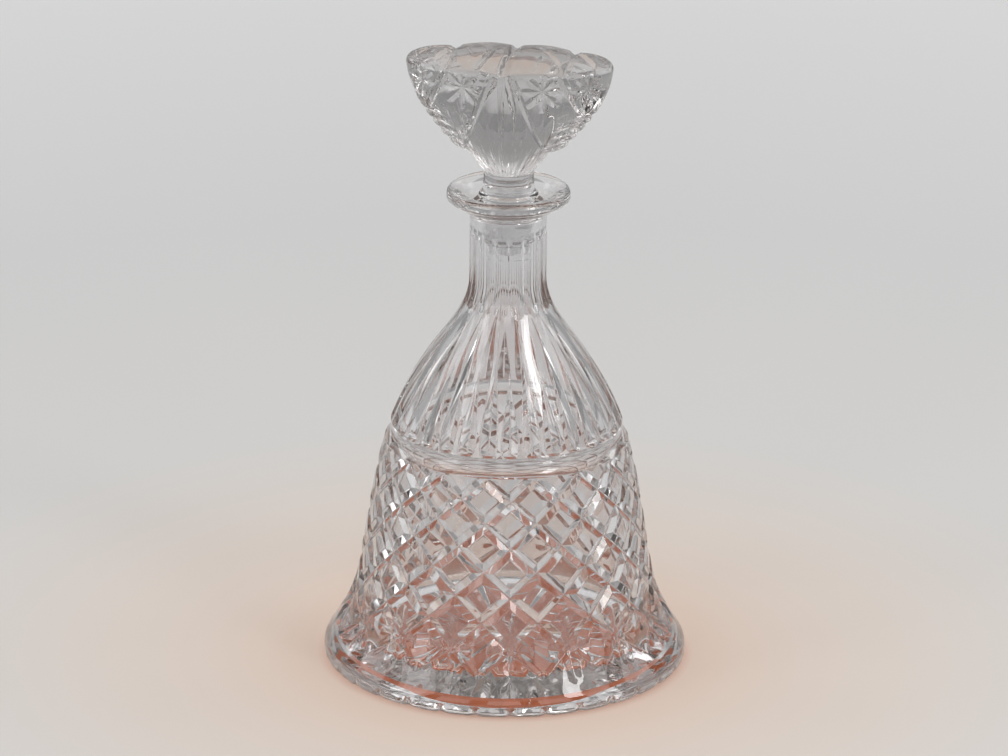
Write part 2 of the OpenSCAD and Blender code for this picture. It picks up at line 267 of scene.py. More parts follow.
class Skin:
    """Skin over oval sections, less the depth of its cuts, which is a function of the row and the angle.

    An uncut point is (half width times sine, minus half depth times cosine, height). A row between two whole
    ones lies on the straight line between their sections.
    """

    def __init__(self, sections, depth_at):
        self.sections = sections
        self.depth_at = depth_at
        way = unit(np.diff(sections, axis=0))
        is_round = np.sum(way[:-1] * way[1:], axis=1) > math.cos(CORNER)
        mean = unit(way[:-1] + way[1:])
        self.start, self.end = way.copy(), way.copy()
        self.start[1:][is_round] = mean[is_round]
        self.end[:-1][is_round] = mean[is_round]

    def section(self, row):
        """Half width, half depth and height at a row, whole or between two rows."""
        at = np.arange(len(self.sections))
        return [np.interp(row, at, column) for column in self.sections.T]

    def base(self, row, angle):
        """Points of the uncut skin, the ways round it and along its outline, and the outward normals."""
        k = np.clip(np.floor(row).astype(int), 0, len(self.start) - 1)
        part = (row - k)[..., None]
        half_w, half_t, z = np.moveaxis(self.sections[k] * (1 - part) + self.sections[k + 1] * part, -1, 0)
        along_w, along_t, along_z = np.moveaxis(self.start[k] * (1 - part) + self.end[k] * part, -1, 0)
        sin, cos = np.sin(angle), np.cos(angle)
        point = np.stack([half_w * sin, -half_t * cos, z], axis=-1)
        about = np.stack([np.maximum(half_w, 1e-4) * cos, np.maximum(half_t, 1e-4) * sin, 0 * z], axis=-1)
        along = np.stack([along_w * sin, -along_t * cos, along_z], axis=-1)
        return point, about, along, unit(np.cross(about, along))

    def points(self, row, angle):
        """Points of the cut skin. Those of a row that has shrunk to the axis stay on it."""
        point, _, _, out = self.base(row, angle)
        cut = point - out * self.depth_at(row, angle)[..., None]
        cut[np.hypot(point[..., 0], point[..., 1]) < WELD, :2] = 0
        return cut

    def normals(self, row, angle):
        """Outward normals of the cut skin: those of the uncut one, leant by the depth's slope each way."""
        _, about, along, out = self.base(row, angle)
        k = np.clip(np.floor(row).astype(int), 0, len(self.start) - 1)
        length = np.linalg.norm(self.sections[k + 1] - self.sections[k], axis=-1)
        tiny_row, tiny_angle = 1e-3, 1e-5
        more, less = self.depth_at(row + tiny_row, angle), self.depth_at(row - tiny_row, angle)
        slope_row = (more - less) / (2 * tiny_row)
        more, less = self.depth_at(row, angle + tiny_angle), self.depth_at(row, angle - tiny_angle)
        slope_angle = (more - less) / (2 * tiny_angle)
        leant_along = along * length[..., None] - out * slope_row[..., None]
        leant_about = about - out * slope_angle[..., None]
        return unit(np.cross(leant_about, leant_along))


def grid(rows, angles):
    """Block of a skin: every row crossed by the angles of that row.

    Gives the points' rows and angles, and the cells.
    """
    row = np.broadcast_to(rows[:, None], angles.shape)
    index = np.arange(row.size).reshape(row.shape)
    cells = np.stack([index[:-1, :-1], index[:-1, 1:], index[1:, 1:], index[1:, :-1]], axis=2)
    return row.reshape(-1), angles.reshape(-1), cells.reshape(-1, 4)


def lattice(marks, periods, rows):
    """Block on which two families of sloping lines cross, so that cuts along them get clean edges.

    Line n of one family has step - row = place(n), and of the other step + row = place(n), where the places
    are the marks, repeated every 2 steps. Its top and bottom edges are level. Gives the points' steps and
    rows, and the cells; a cell on an edge is a triangle, whose last corner stands twice.
    """
    count = len(marks)

    def place(n):
        """Place of line n."""
        return marks[n % count] + 2 * (n // count)

    between, first = np.mgrid[0:rows * count + 1, 0:periods * count + 1]
    step = (place(first) + place(first + between)) / 2
    row = (place(first + between) - place(first)) / 2
    index = np.arange(step.size).reshape(step.shape)
    left, right = index[:, :-1], index[:, 1:]
    whole = np.stack([left[1:-1], left[2:], right[1:-1], right[:-2]], axis=2)
    top = np.stack([left[0], left[1], right[0], right[0]], axis=1)
    bottom = np.stack([left[-1], right[-1], right[-2], right[-2]], axis=1)
    return step.reshape(-1), row.reshape(-1), np.concatenate([whole.reshape(-1, 4), top, bottom])


def build(name, skin, turn, blocks):
    """Object of a skin over its blocks, turned about the axis. Points that fall together are joined.

    Each cell is split along the diagonal whose middle is nearer the true depth there, and each corner of a
    face has the skin's own normal, taken a little way into that face, so that edges stay crisp and rounds
    stay smooth.
    """
    row = np.concatenate([block[0] for block in blocks])
    angle = np.concatenate([block[1] for block in blocks])
    starts = np.cumsum([0] + [len(block[0]) for block in blocks])
    cells = np.concatenate([block[2] + start for block, start in zip(blocks, starts)])

    depth = skin.depth_at(row, angle)
    middle = skin.depth_at(row[cells].mean(axis=1), angle[cells].mean(axis=1))
    a, b, c, d = cells.T
    rising = np.abs((depth[a] + depth[c]) / 2 - middle) <= np.abs((depth[b] + depth[d]) / 2 - middle)
    first = np.where(rising, [a, b, c], [a, b, d]).T
    second = np.where(rising, [a, c, d], [b, c, d]).T
    faces = np.concatenate([first, second])

    spun = np.array([[math.cos(turn), -math.sin(turn), 0], [math.sin(turn), math.cos(turn), 0], [0, 0, 1]])
    placed = skin.points(row, angle)
    cell_of = np.round(placed / WELD + WELD_SHIFT)
    _, kept, joined = np.unique(cell_of, axis=0, return_index=True, return_inverse=True)
    joined = joined.reshape(-1)
    verts = placed[kept] @ spun.T
    corners = joined[faces]
    whole = (corners != np.roll(corners, 1, axis=1)).all(axis=1)
    faces, corners = faces[whole], corners[whole]

    face_row, face_angle = row[faces], angle[faces]
    near_row = face_row + INTO_FACE * (face_row.mean(axis=1, keepdims=True) - face_row)
    near_angle = face_angle + INTO_FACE * (face_angle.mean(axis=1, keepdims=True) - face_angle)
    normals = skin.normals(near_row, near_angle) @ spun.T

    mesh = bpy.data.meshes.new(name)
    mesh.vertices.add(len(verts))
    mesh.vertices.foreach_set("co", (verts * MM).astype(np.float32).reshape(-1))
    mesh.loops.add(3 * len(corners))
    mesh.loops.foreach_set("vertex_index", corners.astype(np.int32).reshape(-1))
    mesh.polygons.add(len(corners))
    mesh.polygons.foreach_set("loop_start", np.arange(0, 3 * len(corners), 3, dtype=np.int32))
    mesh.update(calc_edges=True)
    mesh.shade_smooth()
    mesh.normals_split_custom_set(normals.reshape(-1, 3).tolist())
    piece = bpy.data.objects.new(name, mesh)
    bpy.context.scene.collection.objects.link(piece)
    return piece


def even_angles(rows, columns):
    """The same evenly spaced angles on each row, from 0 to a whole turn."""
    return np.broadcast_to(np.linspace(0, 2 * math.pi, columns + 1), (rows, columns + 1))


# Bottle

def outer_radius(z):
    """Outer radius of the bottle from the top of the foot to the neck: cubics between its stations."""
    return np.where(z < WAIST[0], smooth_curve(FOOT_TOP, WAIST, z),
                    np.where(z < RING[0], smooth_curve(WAIST, RING, z),
                             np.where(z < SHOULDER[0], smooth_curve(RING, SHOULDER, z),
                                      smooth_curve(SHOULDER, NECK_FOOT, z))))


def inner_radius(z):
    """Radius of the cavity up to the neck: a straight slope to the waist, then cubics inside the wall."""
    straight = WAIST[1] - WALL - WAIST[2] * (WAIST[0] - z)
    bore = (NECK_FOOT[0], BORE_R, 0.0)
    return np.where(z < WAIST[0], straight,
                    np.where(z < RING[0], smooth_curve(inset(WAIST), inset(RING), z),
                             np.where(z < SHOULDER[0], smooth_curve(inset(RING), inset(SHOULDER), z),
                                      smooth_curve(inset(SHOULDER), bore, z))))


# Rows of diamonds, counted down from the first crossings under the ring groove. Each row is DIAMOND_RATIO
# times as tall as a step is wide there, so the count is the sum of slant height over that.
FINE_TOP_Z = RING[0] + 10
FINE_BOTTOM_Z = FOOT_ROUND_Z + FOOT_ROUND * math.sin(math.radians(FOOT_ROUND_END))
FINE_COUNT = 4000
fine_z = np.linspace(FINE_TOP_Z, FINE_BOTTOM_Z, FINE_COUNT)
fine_r = outer_radius(fine_z)
slant = np.hypot(np.gradient(fine_z), np.gradient(fine_r))
fine_row = np.cumsum(slant / (DIAMOND_RATIO * fine_r * STEP))
fine_row -= np.interp(-CROSSING_Z, -fine_z, fine_row)


def diamond_row(z):
    """Row of diamonds at height z: 0 on the first crossings, growing downwards."""
    return np.interp(-z, -fine_z, fine_row)


# The bottle's outline, from the middle of the sole up the outside, over the lip and down to the cavity floor
ROWS_A_DIAMOND = 16
band_z = np.interp(np.arange(DIAMOND_ROWS, -1e-9, -1 / ROWS_A_DIAMOND), fine_row, fine_z)
foot_z = np.linspace(fine_z[-1], band_z[0], 5)[1:-1]
groove_z = np.linspace(RING_MIDDLE_Z - RING_HALF, RING_MIDDLE_Z + RING_HALF, 13)
shoulder_z = np.linspace(groove_z[-1], NECK_FOOT[0], 66)[1:]
neck_z = np.linspace(NECK_FOOT[0], LIP_Z, 15)[1:]
under_lip = np.linspace(0, 1, 9)[1:]
under_r = NECK_FOOT[1] + (LIP_R - LIP_UNDER_INSET - NECK_FOOT[1]) * under_lip ** LIP_UNDER_CURVE
land = np.linspace(0, 1, 7)[1:]
bowl = np.linspace(1, 0, 11)[1:]
seat_z = MOUTH_Z - REST_GAP
cavity_z = np.concatenate([np.linspace(NECK_FOOT[0], RING[0], 34)[1:],
                           np.linspace(RING[0], WAIST[0], 12)[1:], CAVITY_LOW_Z])
floor_corner = float(inner_radius(FLOOR_Z + FLOOR_FILLET)) - FLOOR_FILLET

sole = outline(run(np.linspace(0, RECESS_R - RECESS_DEPTH, 16), RECESS_DEPTH), [[RECESS_R, 0]],
               run(np.linspace(RECESS_R + 2, FOOT_TOP[1] - HEEL_R, 4), 0))
foot = outline(arc((FOOT_TOP[1] - HEEL_R, HEEL_R), HEEL_R, -75, 0, HEEL_ROWS),
               arc((FOOT_TOP[1] - FOOT_ROUND, FOOT_ROUND_Z), FOOT_ROUND, 5, FOOT_ROUND_END, 6),
               run(outer_radius(foot_z), foot_z))
band = outline(run(outer_radius(band_z), band_z))
above = outline(run(outer_radius(groove_z), groove_z),
                run(outer_radius(shoulder_z), shoulder_z),
                run(NECK_FOOT[1], neck_z))
lip = outline(run(under_r, LIP_Z + LIP_UNDER_RISE * under_lip),
              arc((LIP_R - LIP_UNDER_ROUND, LIP_UNDER_Z), LIP_UNDER_ROUND, -60, 0, 6),
              arc((LIP_R - LIP_ROUND, LIP_TOP_Z - LIP_ROUND), LIP_ROUND, 0, 90, 8),
              run(LIP_R - LIP_ROUND + (LAND_R - LIP_R + LIP_ROUND) * land,
                  LIP_TOP_Z + (LAND_Z - LIP_TOP_Z) * land ** LAND_CURVE),
              run(DISH_R + (LAND_R - DISH_R) * bowl, seat_z + (LAND_Z - seat_z) * bowl ** DISH_CURVE),
              arc((BORE_R + MOUTH_ROUND, seat_z - MOUTH_ROUND), MOUTH_ROUND, 90, 180, 5))
inside = outline(run(BORE_R, np.linspace(seat_z - MOUTH_ROUND, NECK_FOOT[0], 10)[1:]),
                 run(inner_radius(cavity_z), cavity_z),
                 arc((floor_corner, FLOOR_Z + FLOOR_FILLET), FLOOR_FILLET, 0, -90, 8),
                 run(np.linspace(floor_corner, 0, 6)[1:], FLOOR_Z))
bottle_sections = np.concatenate([sole, foot, band, above, lip, inside])
foot_row = len(sole)
band_row = foot_row + len(foot)
above_row = band_row + len(band)
lip_row = above_row + len(above)


def ray_half(r):
    """Half width, in steps, of a ray of the sole's star at radius r: its sides slope at 30 degrees."""
    return math.sqrt(3) * RAY_DEPTH * share(r, RAY_START_R, RECESS_R) / (np.maximum(r, 1) * STEP)


def shoulder_grown(z, top):
    """Growth of a shoulder cut that starts at the height top, at height z.

    With t from 0 there to 1 at the ring groove it is 1.25 t^1.15 (1 - t^5 / 2): a leaf that is widest near
    its lower end and draws in again to the ring.
    """
    t = share(z, top, RING_MIDDLE_Z + RING_HALF)
    return 1.25 * t ** 1.15 * (1 - t ** 5 / 2)


def shoulder_half(grown):
    """Half width of a shoulder cut, in steps."""
    return SHOULDER_CUT_LEAST + SHOULDER_CUT_HALF * grown


def bottle_cuts(row, angle):
    """Depth of the cuts on the bottle; past the neck, and on the inside, the skin is smooth.

    Sole: a star of 32 rays. Heel: 32 small notches. Body: V cuts on the lines where step minus row and step
    plus row are even, so that they cross into diamonds and run out to points on the foot; on the seventh row
    short level and upright cuts make each crossing a star of eight rays. Ring: one level hollow, a parabola.
    Shoulder: V cuts on every step, long on the even ones, shaped like leaves, that end straight at the ring.
    Neck: 16 hollow panels, parabolas across, with a rounded lower end.
    """
    r, _, z = np.broadcast_arrays(*bottle.section(row), angle)[:3]
    row = np.broadcast_to(row, r.shape)
    step = angle / STEP
    even, odd = off_line(step, 2), off_line(step - 1, 2)
    each = np.minimum(even, odd)

    ray_depth = RAY_DEPTH * share(r, RAY_START_R, RECESS_R)
    rays = mitre(each, ray_half(r), ray_depth * (r < RECESS_R - RECESS_DEPTH))
    faded = share(z, *HEEL_NOTCH_Z)
    notch_depth = HEEL_NOTCH_DEPTH * (1 - faded) * share(r, *HEEL_NOTCH_R)
    heel = mitre(each, HEEL_NOTCH_HALF * (1 - faded / 2), notch_depth)

    down = diamond_row(z)
    taper = 1 - share(down, DIAMOND_ROWS - 1, DIAMOND_ROWS - RUN_OUT)
    crossed = np.minimum(off_line(step - down, 2), off_line(step + down, 2))
    diamonds = mitre(crossed, DIAMOND_HALF * np.maximum(taper, RUN_OUT), DIAMOND_DEPTH * taper)
    from_star = np.abs(down - (DIAMOND_ROWS - 1))
    level_half, level_depth, level_reach = LEVEL_CUT
    level = mitre(from_star, level_half, level_depth * (1 - share(odd, STAR_CORE, level_reach)))
    upright_half, upright_depth, upright_reach = UPRIGHT_CUT
    upright = mitre(odd, upright_half, upright_depth * (1 - share(from_star, STAR_CORE, upright_reach)))
    body = np.maximum(diamonds, np.maximum(level, upright))

    from_ring = (z - RING_MIDDLE_Z) / RING_HALF
    ring = RING_DEPTH * np.clip(1 - from_ring ** 2, 0, None)
    stop = share(from_ring, 1, RING_CLEAR)
    grown_long, grown_short = shoulder_grown(z, LONG_CUT_Z), shoulder_grown(z, SHORT_CUT_Z)
    long_cut = mitre(even, shoulder_half(grown_long), SHOULDER_CUT_DEPTH * grown_long * stop)
    short_cut = mitre(odd, shoulder_half(grown_short), SHOULDER_CUT_DEPTH * grown_short * stop)

    hollow = PANEL_HOLLOW * (1 - even ** 2)
    lower_end = PANEL_LOW_SLOPE * (z - PANEL_LOW_Z - PANEL_ARCH * even ** 2)
    upper_end = PANEL_HIGH_SLOPE * (PANEL_HIGH_Z - z)
    panels = np.clip(np.minimum(hollow, np.minimum(lower_end, upper_end)), 0, None)
    shoulder = np.maximum(np.maximum(long_cut, short_cut), panels)

    under, outer = row < foot_row, row < lip_row
    side = np.where(z < CROSSING_Z, np.maximum(heel, body), np.maximum(ring, shoulder))
    return np.where(under, np.maximum(rays, heel), np.where(outer, side, 0))


# Places of the columns in half a period, from an even step to an odd one: on the bottom and edges of the
# crossed cuts, and spread over the diamonds between them
DIAMOND_MARKS = np.array([0, DIAMOND_HALF * EASE, DIAMOND_HALF * (1 - EASE), DIAMOND_HALF * (1 + EASE),
                          0.56, 0.68, 0.8, 0.9, 1])
# Half widths in steps that the columns take outside the diamonds: where there is no cut, at the heel, on the
# sole at the least and the most, and the least anywhere
PLAIN_SPREAD = 0.3
HEEL_SPREAD = 0.22
RAY_SPREAD = (0.06, 0.36)
LEAST_SPREAD = 0.1


def whole_period(half):
    """Places over a whole period, without its end, from those in its first half."""
    return np.concatenate([half[..., :-1], 2 - half[..., :0:-1]], axis=-1)


def bottle_steps(rows):
    """Places of the columns on rows of the bottle outside the diamonds: on the edges of the cuts there."""
    r, _, z = bottle.section(rows)
    lower = rows < band_row
    upper = (rows >= above_row) & (rows < lip_row)
    ray = np.where(rows < foot_row, np.clip(ray_half(r), *RAY_SPREAD), HEEL_SPREAD)
    even, odd = (
        np.where(lower, ray, np.where(upper, shoulder_half(shoulder_grown(z, top)), PLAIN_SPREAD))
        for top in (LONG_CUT_Z, SHORT_CUT_Z))
    even, odd = np.maximum(even, LEAST_SPREAD)[:, None], np.maximum(odd, LEAST_SPREAD)[:, None]
    near, far = np.array([0, EASE, 1 - EASE, 1 + EASE]), np.array([1 + EASE, 1 - EASE, EASE, 0])
    middle = (even * (1 + EASE) + 1 - odd * (1 + EASE)) / 2
    spread = np.concatenate([even * near, middle, 1 - odd * far], axis=1)
    stations = [foot_row + HEEL_ROWS, band_row, above_row, above_row + len(groove_z)]
    to_band = np.interp(rows, stations, [0, 1, 1, 0])[:, None]
    return whole_period(spread * (1 - to_band) + DIAMOND_MARKS * to_band)


def bottle_block(rows):
    """Grid block of the bottle over whole rows outside the diamonds."""
    steps = bottle_steps(rows)
    turns = steps[:, None, :] + 2 * np.arange(PERIODS)[None, :, None]
    closed = np.concatenate([turns.reshape(len(rows), -1), steps[:, :1] + 2 * PERIODS], axis=1)
    return grid(rows, closed * STEP)


def diamond_block():
    """Lattice block of the bottle over the diamonds."""
    step, down, cells = lattice(whole_period(DIAMOND_MARKS), PERIODS, DIAMOND_ROWS)
    return band_row + (DIAMOND_ROWS - down) * ROWS_A_DIAMOND, step * STEP, cells


bottle = Skin(bottle_sections, bottle_cuts)
bottle_blocks = [bottle_block(np.arange(0, band_row + 1.0)), diamond_block(),
                 bottle_block(np.arange(above_row - 1.0, len(bottle_sections)))]


# Stopper

def head_half_w(z):
    """Half the width of the stopper's head at height z, up to the rim."""
    return smooth_curve(HEAD_FOOT_W, HEAD_RIM_W, z)


def head_half_t(z):
    """Half the depth of the stopper's head, front to back, at height z, up to the rim."""
    return smooth_curve(HEAD_FOOT_T, HEAD_RIM_T, z)


peg = outline([[0, PEG_BOTTOM], [PEG_FACE_R, PEG_BOTTOM], [PEG_R - PEG_CHAMFER, PEG_BOTTOM]],
              run(PEG_R, np.linspace(PEG_BOTTOM + PEG_CHAMFER, SEAT_Z, 9)),
              arc((STEM_R - STEM_ROUND, SEAT_Z + STEM_ROUND), STEM_ROUND, -90, 0, 3),
              run(STEM_R, np.linspace(SEAT_Z + STEM_ROUND, STEM_TOP_Z, 6)[1:-1]))
head_z = np.linspace(STEM_TOP_Z, RIM_Z, 90)
rim_turn = np.radians(np.linspace(0, 90, 13)[1:])
crown = np.linspace(1, 0, 46)[1:]
head = np.stack([head_half_w(head_z), head_half_t(head_z), head_z], axis=1)
rim_in = RIM_R * (1 - np.cos(rim_turn))
rim = np.stack([HEAD_RIM_W[1] - rim_in, HEAD_RIM_T[1] - rim_in, RIM_Z + RIM_R * np.sin(rim_turn)], axis=1)
dome = np.stack([crown * (HEAD_RIM_W[1] - RIM_R), crown * (HEAD_RIM_T[1] - RIM_R),
                 RIM_Z + RIM_R + CROWN_H * (1 - crown ** 2)], axis=1)
stopper_sections = np.concatenate([peg, head, rim, dome])
head_row = len(peg)
rim_row = head_row + len(head)


def star(x, y, reach, half_width, depth):
    """Star of eight rays about the origin: four V cuts that cross and fade towards their ends."""
    fade = np.clip(1 - np.hypot(x, y) / reach, 0, 1) ** STAR_FADE
    cut = 0 * x
    for turn in np.radians((0, 45, 90, 135)):
        cut = np.maximum(cut, mitre(x * math.cos(turn) + y * math.sin(turn), half_width, depth * fade))
    return cut


def stopper_cuts(row, angle):
    """Depth of the cuts on the stopper's head, the same on its front and back and on either side.

    One V runs down the middle of each face and over the top. On either side of it an inner V spreads from
    near the middle of the rim to low on the flank, and an outer one comes over the top and runs out on the
    flank. Between them each lobe bears a star, and so does the end lobe. Short level notches step the flank
    under the end lobe, below them the flank steps in towards the stem, and fine flutes, cosines round the
    axis, run up from the stem.
    """
    half_w, half_t, z = np.broadcast_arrays(*stopper.section(row), angle)[:3]
    row = np.broadcast_to(row, z.shape)
    is_head = row >= head_row
    top = row >= rim_row + len(rim) - 1
    over = share(row, rim_row - 1, rim_row + len(rim) - 1)
    x = np.abs(half_w * np.sin(angle))
    steep = np.abs(np.tan(angle)) * half_t / np.maximum(half_w, 1e-3)
    stretch = np.minimum(np.hypot(1, steep), MOST_STRETCH)
    fall = RIM_Z - z

    def fade_between(falls):
        """Grows over the first two of four falls and fades over the last two."""
        return share(fall, *falls[:2]) * (1 - share(fall, *falls[2:]))

    def lobe_cut(line, sizes, stays):
        """V cut along a line, narrowing out at its low end, that stays over the top or ends at the rim."""
        high_x, low_x, low_fall = line
        depth, half, shallower, wider = sizes
        middle_x = high_x + (low_x - high_x) * np.clip(fall / low_fall, 0, None)
        kept = (1 - share(fall / low_fall, *LINE_END)) * (1 if stays else 1 - over)
        half = (half + wider * over ** 2) * np.maximum(kept, LINE_LEAST)
        return mitre((x - middle_x) * stretch, half, (depth - shallower * over ** 2) * kept)

    def lobe_star(place, reach, half_width, depth):
        """Star at a place across the face."""
        return star((x - place) * stretch, fall * STAR_SLANT - STAR_DOWN, reach, half_width, depth)

    middle = lobe_cut(MIDDLE_LINE, MIDDLE_CUT, stays=True)
    inner = lobe_cut(INNER_LINE, INNER_CUT, stays=False)
    outer = lobe_cut(OUTER_LINE, OUTER_CUT, stays=True)
    stars = np.maximum(lobe_star(*LOBE_STAR), lobe_star(*END_STAR)) * (1 - over)

    flank = share(x / np.maximum(half_w, 1e-3), *FLANK)
    notch_depth = NOTCH_DEPTH * flank * fade_between(NOTCH_FALLS)
    notches = mitre(off_line(fall, NOTCH_PITCH), NOTCH_PITCH / 2, notch_depth)
    undercut = UNDERCUT * flank * fade_between(UNDERCUT_FALLS)
    flutes = FLUTE_DEPTH * (0.5 + 0.5 * np.cos(FLUTES * angle)) * fade_between(FLUTE_FALLS)
    low_cuts = np.maximum(notches, undercut + flutes)

    # Each lobe is a cushion: it falls away towards the cuts on either side of it
    lobe_edge = np.minimum(x, np.abs(x - OUTER_LINE[0]))
    cushion = CUSHION_DEPTH * np.clip(1 - lobe_edge / CUSHION_W, 0, 1) ** 2 * share(fall, CUSHION_FALL, 0)

    cut = np.maximum(np.maximum(middle, inner), outer)
    cut = np.maximum(cut, np.where(top, 0, np.maximum(stars, low_cuts))) + cushion
    return np.where(is_head, cut, 0)


stopper = Skin(stopper_sections, stopper_cuts)
stopper_rows = np.arange(len(stopper_sections), dtype=float)
stopper_blocks = [grid(stopper_rows, even_angles(len(stopper_rows), STOPPER_COLUMNS))]


# Sleeve

collar_z = SEAT_Z - REST_GAP
sleeve_sections = outline(
    run(SLEEVE_R, np.linspace(SLEEVE_BOTTOM, MOUTH_Z, 12)),
    arc((FLANGE_R - FLANGE_ROUND, MOUTH_Z + FLANGE_ROUND), FLANGE_ROUND, -90, 0, 6),
    arc((FLANGE_R - FLANGE_ROUND, FLANGE_TOP_Z - FLANGE_ROUND), FLANGE_ROUND, 15, 90, 6),
    run(SLEEVE_R, np.linspace(FLANGE_TOP_Z, collar_z - COLLAR_ROUND, 6)),
    arc((SLEEVE_R - COLLAR_ROUND, collar_z - COLLAR_ROUND), COLLAR_ROUND, 20, 90, 4),
    run(SLEEVE_IN_R, np.linspace(collar_z, SLEEVE_BOTTOM, 16)),
    [[SLEEVE_R, SLEEVE_BOTTOM]])


def no_cuts(row, angle):
    """No cuts at all."""
    return np.zeros(np.broadcast(row, angle).shape)


def notch_sleeve(piece):
    """Lifts a short stretch of the lower edge, at the front, by drawing the wall above it together."""
    co = np.empty(3 * len(piece.data.vertices), np.float32)
    piece.data.vertices.foreach_get("co", co)
    co = co.reshape(-1, 3) / MM
    front = (np.abs(co[:, 0]) < SLEEVE_NOTCH_HALF) & (co[:, 1] < 0) & (co[:, 2] < MOUTH_Z)
    wall = MOUTH_Z - SLEEVE_BOTTOM
    drawn = MOUTH_Z - (MOUTH_Z - co[:, 2]) * (wall - SLEEVE_NOTCH_RISE) / wall
    co[:, 2] = np.where(front, drawn, co[:, 2])
    piece.data.vertices.foreach_set("co", (co * MM).astype(np.float32).reshape(-1))
    piece.data.update()


sleeve_skin = Skin(sleeve_sections, no_cuts)
sleeve_rows = np.arange(len(sleeve_sections), dtype=float)
sleeve_blocks = [grid(sleeve_rows, even_angles(len(sleeve_rows), SLEEVE_COLUMNS))]


# Materials

# Width of a patch of polish in millimetres, and the stretch of its noise that is used
PATCH_MM = 9
PATCH_NOISE = (0.35, 0.75)


def linear(colour):
    """Linear colour, with alpha, of an sRGB hex value."""
    c = np.array([int(colour[i:i + 2], 16) / 255 for i in (1, 3, 5)])
    c = np.where(c <= 0.04045, c / 12.92, ((c + 0.055) / 1.055) ** 2.4)
    return (*c, 1.0)


def new_material(name):
    """Empty node material and its tree."""
    material = bpy.data.materials.new(name)
    material.use_nodes = True
    material.node_tree.nodes.clear()
    return material, material.node_tree


def add(tree, kind, settings=None, **inputs):
    """Adds a node. Settings are its properties; inputs, by socket name or number, are values or sockets."""
    node = tree.nodes.new(kind)
    for key, value in (settings or {}).items():
        setattr(node, key, value)
    for key, value in inputs.items():
        numbered = key[0] == "i" and key[1:].isdigit()
        socket = node.inputs[int(key[1:]) if numbered else key.replace("_", " ")]
        if isinstance(value, bpy.types.NodeSocket):
            tree.links.new(value, socket)
        else:
            socket.default_value = value
    return node


def clear_material(name, colour, ior, rough, ripple_mm, ripple, veil, depth_tint, depth_loss):
    """Clear solid: a refracting shader with faint ripples and patches of polish, which lets lamps through.

    rough is the least and the most roughness of the patches. ripple_mm is the ripples' width and ripple their
    height, in millimetres. veil is the colour that lamps take on each time that they pass through a face.
    depth_tint and depth_loss, per metre, are what is lost on the way through the solid, so that thick parts
    and edges are a little darker.
    """
    material, tree = new_material(name)
    place = add(tree, "ShaderNodeTexCoord").outputs["Object"]
    patches = add(tree, "ShaderNodeTexNoise", Vector=place, Scale=1 / (PATCH_MM * MM), Detail=2.0)
    polish = add(tree, "ShaderNodeMapRange", Value=patches.outputs["Fac"],
                 i1=PATCH_NOISE[0], i2=PATCH_NOISE[1], i3=rough[0], i4=rough[1])
    ripples = add(tree, "ShaderNodeTexNoise", Vector=place, Scale=1 / (ripple_mm * MM), Detail=1.0)
    bump = add(tree, "ShaderNodeBump", Height=ripples.outputs["Fac"], Strength=1.0, Distance=ripple * MM)
    shader = add(tree, "ShaderNodeBsdfPrincipled", Base_Color=linear(colour), IOR=ior,
                 Transmission_Weight=1.0, Roughness=polish.outputs["Result"],
                 Normal=bump.outputs["Normal"]).outputs["BSDF"]
    shade = add(tree, "ShaderNodeBsdfTransparent", Color=linear(veil)).outputs["BSDF"]
    lamp_ray = add(tree, "ShaderNodeLightPath").outputs["Is Shadow Ray"]
    mixed = add(tree, "ShaderNodeMixShader", i0=lamp_ray, i1=shader, i2=shade).outputs["Shader"]
    inner = add(tree, "ShaderNodeVolumeAbsorption", Color=linear(depth_tint), Density=depth_loss)
    add(tree, "ShaderNodeOutputMaterial", Surface=mixed, Volume=inner.outputs["Volume"])
    return material


# Lead crystal, blown, then cut on a wheel and acid polished: bright, colourless, with a high index that
# throws strong highlights, and faint ripples from the hot glass and the polish.
crystal = clear_material("lead_crystal_cut_polished", "#F6F6F7", ior=1.545, rough=(0.0, 0.012), ripple_mm=14,
                         ripple=0.012, veil="#F0F0F0", depth_tint="#8C8078", depth_loss=10.0)

# Clear polyethylene, injection moulded: thin, clear and a little softer in its gloss than the glass.
plastic = clear_material("clear_polyethylene_moulded", "#FBFBFB", ior=1.49, rough=(0.0, 0.02), ripple_mm=5,
                         ripple=0.006, veil="#F4F4F4", depth_tint="#B4B2B0", depth_loss=2.0)


# Pieces on the frame

decanter = build("decanter_cut_crystal", bottle, BOTTLE_TURN, bottle_blocks)
stopper_piece = build("stopper_cut_crystal", stopper, STOPPER_TURN, stopper_blocks)
sleeve = build("sleeve_clear_plastic", sleeve_skin, 0.0, sleeve_blocks)
notch_sleeve(sleeve)

for piece, node, body, slot, material in (
        (decanter, "decanter", "bottle", "cut_crystal", crystal),
        (stopper_piece, "stopper", "stopper", "cut_crystal", crystal),
        (sleeve, "stopper_sleeve", "sleeve", "clear_plastic", plastic)):
    piece.data.materials.append(material)
    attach(piece, body)
    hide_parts(node)


# Stage, light and camera

# Radius of the floor in metres, and its drop below the sole in millimetres
FLOOR_R = 5.0
FLOOR_DROP = 0.3
# Its rings, and the degrees between the points of a ring
FLOOR_RINGS = 24
FLOOR_TURN = 5
# Colours of the floor at radii in metres. The dark terracotta in the middle, where the foot stands, is
# painted shade: a warm floor colour darkened as if the bottle's shadow lay on it
FLOOR_TINTS_AND_SHADE = ((0.072, "#C0602A"), (0.0745, "#D9C3B4"), (0.13, "#D4C7BD"), (0.26, "#CDCBC9"),
               (0.55, "#CCCCCC"), (0.95, "#DADADA"), (1.6, "#989898"))


